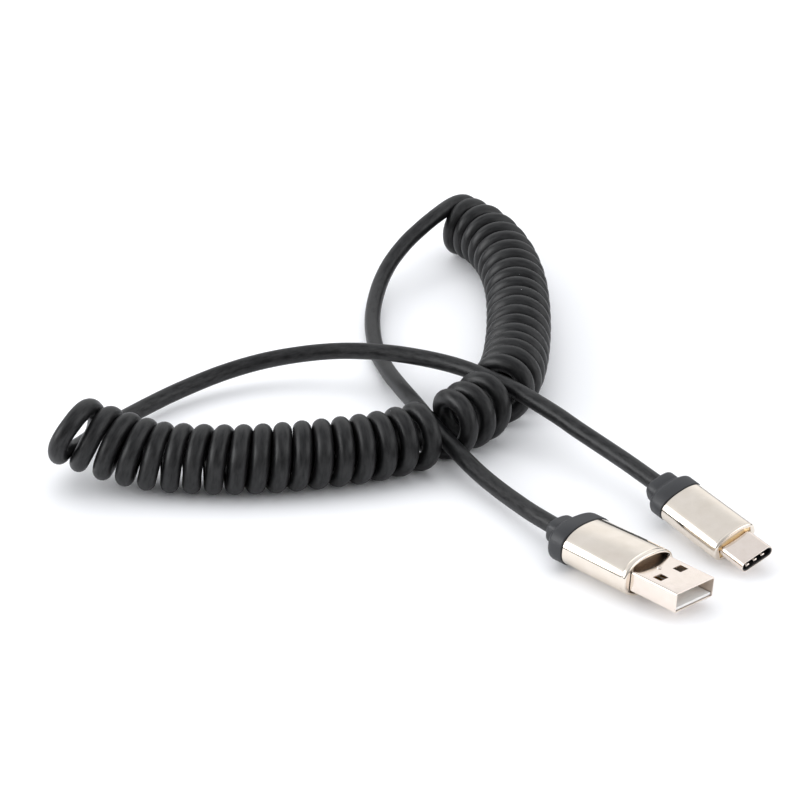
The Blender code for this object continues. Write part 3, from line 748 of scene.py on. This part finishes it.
def plated(name, shade, deep, cloud_size, low, high):
    """Bright plate over a polished blank: a mirror gone slightly soft, from roughness low to high, with
    faint clouds in the plate, cloud_size millimetres across."""
    material, tree, where = surface(name)
    cloud = add(tree, "TexNoise", {"Scale": across(cloud_size), "Detail": 4.0},
                {"Vector": (where, "Object")})
    tint = add(tree, "ValToRGB", {"stops": ((0.25, deep), (0.75, shade))}, {"Fac": (cloud, "Fac")})
    dull = add(tree, "MapRange", {"To Min": low, "To Max": high}, {"Value": (cloud, "Fac")})
    shader = add(tree, "BsdfPrincipled", {"Metallic": 1.0},
                 {"Base Color": (tint, "Color"), "Roughness": (dull, 0)})
    finish_surface(tree, shader)
    return material


def brushed_nickel_painted_shade():
    """The sleeve's filling piece, brushed nickel painted dark brown: the dark brown is painted shade. Its
    brush marks are 0.15 mm wide and drawn out along the table's y, so that on this upright face they show as
    a fine grain."""
    material, tree, where = surface("brushed_nickel_with_painted_shade")
    yaw = math.radians(A_TURN[0])
    turned = add(tree, "Mapping", {"Rotation": (0.0, 0.0, -yaw), "Scale": (1.0, 0.04, 1.0)},
                 {"Vector": (where, "Object")})
    lines = add(tree, "TexNoise", {"Scale": across(0.154), "Detail": 2.0}, {"Vector": (turned, 0)})
    # The dark brown of this ramp is painted shade; the brush lines that vary it are the metal's own grain.
    tint = add(tree, "ValToRGB", {"stops": ((0.3, "#43372c"), (0.7, "#77685a"))}, {"Fac": (lines, "Fac")})
    bump = add(tree, "Bump", {"Strength": 0.3, "Distance": 0.03 * MM}, {"Height": (lines, "Fac")})
    shader = add(tree, "BsdfPrincipled", {"Metallic": 0.8, "Roughness": 0.42},
                 {"Base Color": (tint, "Color"), "Normal": (bump, 0)})
    finish_surface(tree, shader)
    return material


def moulded_lcp(name, low, high, rough_low, rough_high):
    """Glass-filled LCP, moulded: an even colour with fine flow clouds and a dull shine."""
    material, tree, where = surface(name)
    cloud = add(tree, "TexNoise", {"Scale": across(1.43), "Detail": 3.0}, {"Vector": (where, "Object")})
    tint = add(tree, "ValToRGB", {"stops": ((0.0, low), (1.0, high))}, {"Fac": (cloud, "Fac")})
    dull = add(tree, "MapRange", {"To Min": rough_low, "To Max": rough_high}, {"Value": (cloud, "Fac")})
    shader = add(tree, "BsdfPrincipled", {"IOR": 1.55},
                 {"Base Color": (tint, "Color"), "Roughness": (dull, 0)})
    finish_surface(tree, shader)
    return material


# Studio

def studio_paper():
    """Matt white background paper, rolled: plain, with only a breath of tone in it."""
    material, tree, where = surface("matt_white_paper")
    cloud = add(tree, "TexNoise", {"Scale": across(167.0), "Detail": 2.0}, {"Vector": (where, "Object")})
    tint = add(tree, "ValToRGB", {"stops": ((0.0, "#fafbfd"), (1.0, "#fdfdfe"))}, {"Fac": (cloud, "Fac")})
    shader = add(tree, "BsdfPrincipled", {"Roughness": 0.9, "Specular IOR Level": 0.1},
                 {"Base Color": (tint, "Color")})
    finish_surface(tree, shader)
    return material


def lay_paper():
    """The plain floor that the cable lies on."""
    bpy.ops.mesh.primitive_plane_add(size=PAPER_SIZE, location=(0.0, 0.0, 0.0))
    paper = bpy.context.object
    paper.name = "studio_floor"
    paper.data.materials.append(studio_paper())


def pitch_tent():
    """A light tent: bright all round, with a thin dark seam where it meets the table."""
    world = bpy.data.worlds.new("studio_air")
    bpy.context.scene.world = world
    world.use_nodes = True
    tree = world.node_tree
    where = add(tree, "TexCoord")
    parts = add(tree, "SeparateXYZ", links={"Vector": (where, "Generated")})
    height = add(tree, "MapRange", {"From Min": -1.0, "From Max": 1.0}, {"Value": (parts, "Z")})
    tent = add(tree, "ValToRGB", links={"Fac": (height, 0)})
    ramp = tent.color_ramp
    for place, shade in TENT_SHADES:
        ramp.elements.new(place).color = linear(shade)
    ramp.elements[0].color = linear(TENT_FLOOR)
    ramp.elements[-1].color = linear(TENT_ROOF)
    # It is dimmer round the camera, and two lamps stand behind its walls: a strong one to the left and a
    # weaker one to the right
    lit = (tent, "Color")
    for toward, start, end, gain in TENT_SIDES:
        near = add(tree, "VectorMath", {"operation": "DOT_PRODUCT", 1: toward}, {0: (where, "Generated")})
        factor = add(tree, "MapRange", {"interpolation_type": "SMOOTHSTEP", "From Min": start,
                                        "From Max": end, "To Min": 1.0, "To Max": gain},
                     {"Value": (near, "Value")})
        lit = (add(tree, "VectorMath", {"operation": "SCALE"}, {0: lit, "Scale": (factor, 0)}), "Vector")
    background = tree.nodes["Background"]
    tree.links.new(lit[0].outputs[lit[1]], background.inputs["Color"])
    background.inputs["Strength"].default_value = TENT_STRENGTH


def hang_softboxes():
    """The two lamps inside the tent, which light the cable but don't show in its metal."""
    for name, size, energy, place in SOFTBOXES:
        light = bpy.data.lights.new(name, "AREA")
        light.shape = "SQUARE"
        light.size = size
        light.energy = energy
        obj = bpy.data.objects.new(name, light)
        bpy.context.scene.collection.objects.link(obj)
        obj.location = place
        obj.visible_glossy = False
        obj.rotation_euler = (-Vector(place)).to_track_quat("-Z", "Y").to_euler()


# Making

take_photograph()
for obj in bpy.context.selected_objects:
    obj.select_set(False)
line, radius = cord_line()
curly_cord = sweep_cord(line, radius)
rubber = extruded_tpe()
curly_cord.data.materials.append(rubber)
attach(curly_cord, "root")
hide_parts("coil", "lead_a", "lead_c")

finishes = {
    "cord_rubber": rubber,
    "boot_plastic": moulded_abs(),
    "housing_nickel": plated("satin_champagne_nickel", "#eae1d6", "#e2d8cb", 3.33, 0.09, 0.14),
    "shell_nickel": plated("bright_nickel_on_steel", "#eee3da", "#e7dbd0", 2.0, 0.12, 0.2),
    "tongue_plastic": moulded_lcp("moulded_white_lcp", "#f2f1ee", "#f8f7f5", 0.4, 0.5),
    "liner_plastic": moulded_lcp("moulded_black_lcp", "#0e0e0f", "#161617", 0.35, 0.45),
    "contact_gold": plated("gold_flash_on_nickel", "#e0b568", "#d2a458", 1.11, 0.18, 0.26)}
# The USB-A recess floor's finish: its dark brown is painted shade
painted_shade_nickel = brushed_nickel_painted_shade()
# The USB-C recess floor's finish: its gold tint is a painted reflection, lightened to make up for the shaded
# floor that it reflects
painted_reflection_nickel = plated("nickel_face_painted_reflection", "#f5deb2", "#ecd09c", 1.43, 0.25, 0.35)
for part in frame["record"]["subparts"]:
    node = bpy.data.objects.get(part["node"])
    if node is not None and node.type == "MESH":
        node.data.materials.clear()
        node.data.materials.append(finishes[part["material_slot"]])

nickel, steel, grey = finishes["housing_nickel"], finishes["shell_nickel"], finishes["boot_plastic"]
sleeve_a = make_sleeve("usb_a_sleeve", A_PLACE, width=15.4, height=9.2, rear=-29.4, front=-12.1, recess=1.5,
                       opening=(6.15, 14.2, 7.7), bead=(1.11, 0.2), finish=nickel, floor_painted_light=painted_shade_nickel)
sleeve_c = make_sleeve("usb_c_sleeve", C_PLACE, width=11.3, height=6.3, rear=-24.5, front=-7.0, recess=0.3,
                       opening=(4.4, 10.7, 4.0), bead=(0.7, 0.1), finish=nickel, floor_painted_light=painted_reflection_nickel)
boot_a = make_boot("usb_a_moulded_boot", A_PLACE, width=15.6, height=9.4, cap_front=-29.58,
                   cap_length=4.32, collar_length=4.0, finish=grey)
boot_c = make_boot("usb_c_moulded_boot", C_PLACE, width=11.45, height=6.45, cap_front=-24.66,
                   cap_length=4.44, collar_length=3.2, finish=grey)
shell_a = make_usb_a_shell(A_PLACE, steel)
dimple_a = make_dimple(A_PLACE, steel)
tongue_a = make_tongue(A_PLACE, finishes["tongue_plastic"])
shell_c = make_usb_c_shell(C_PLACE, steel)
liner_c = make_liner(C_PLACE, finishes["liner_plastic"])
for piece, node, slot in (
        (sleeve_a, "usb_a_housing", "housing_nickel"), (sleeve_c, "usb_c_housing", "housing_nickel"),
        (boot_a, "usb_a_boot", "boot_plastic"), (boot_c, "usb_c_boot", "boot_plastic"),
        (shell_a, "usb_a_shell", "shell_nickel"), (shell_c, "usb_c_shell", "shell_nickel"),
        (tongue_a, "usb_a_tongue", "tongue_plastic"), (liner_c, "usb_c_liner", "liner_plastic")):
    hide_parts(node)
for row, side in (("upper", 1), ("lower", -1)):
    for number, y in enumerate(SPRING_ACROSS, 1):
        spring = make_spring("usb_c_bowed_%s_%d" % (row, number), y, side, C_PLACE, steel)
        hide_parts("usb_c_spring_%s_%d" % (row, number))

lay_paper()
pitch_tent()
hang_softboxes()
bpy.context.scene.view_settings.view_transform = "Standard"
